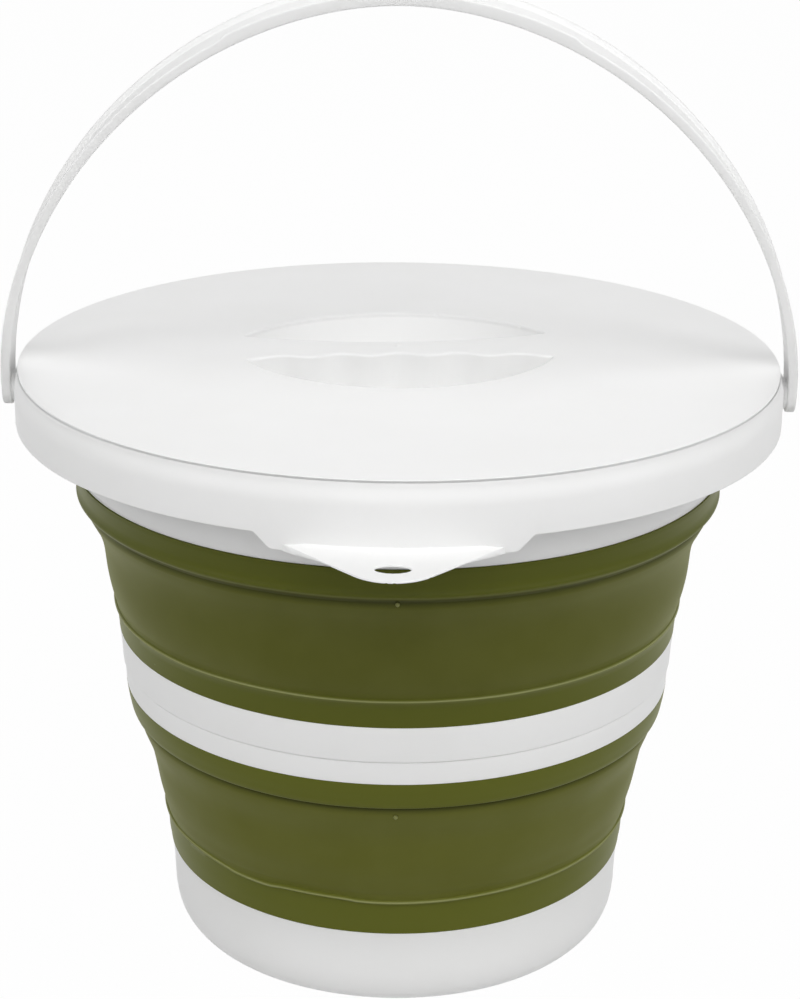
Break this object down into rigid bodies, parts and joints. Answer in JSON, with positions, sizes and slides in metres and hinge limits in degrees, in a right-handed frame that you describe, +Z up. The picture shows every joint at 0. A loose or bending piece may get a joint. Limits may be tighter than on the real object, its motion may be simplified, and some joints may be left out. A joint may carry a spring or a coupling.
{
  "type": "collapsible camp bucket",
  "caption": "Round camp bucket with folding soft walls between hard rings, a lift-off lid with finger wells, a hang tab and a bail handle.",
  "frame": {"origin": "on the bucket's axis, at the flat face that it stands on", "axes": "+Z up along the bucket's axis, -Y towards the hang tab at the front, X along the handle's axis"},
  "size_m": [0.3284, 0.3402, 0.4087],
  "materials": {
    "white_plastic": "moulded polypropylene, satin",
    "olive_rubber": "moulded thermoplastic rubber, soft satin"
  },
  "bodies": {
    "base": {"base_cup": "white_plastic", "lower_wall": "olive_rubber"},
    "middle": {"mid_ring": "white_plastic", "upper_wall": "olive_rubber"},
    "rim": {"rim_frame": "white_plastic"},
    "lid": {"lid": "white_plastic"},
    "handle": {"bail_handle": "white_plastic"}
  },
  "joints": [
    {"name": "middle_drop", "type": "slide", "parent": "base", "child": "middle", "axis": [0, 0, -1], "range_m": [0, 0.0932], "deforming": ["lower_wall"]},
    {"name": "rim_drop", "type": "slide", "parent": "middle", "child": "rim", "axis": [0, 0, -1], "range_m": [0, 0.0924], "deforming": ["upper_wall"]},
    {"name": "lid_lift", "type": "slide", "parent": "rim", "child": "lid", "axis": [0, 0, 1], "range_m": [0, 0.012]},
    {"name": "handle_swing", "type": "hinge", "parent": "rim", "child": "handle", "pos_m": [0, 0, 0.2356], "axis": [1, 0, 0], "range_deg": [-140, 77]}
  ]
}
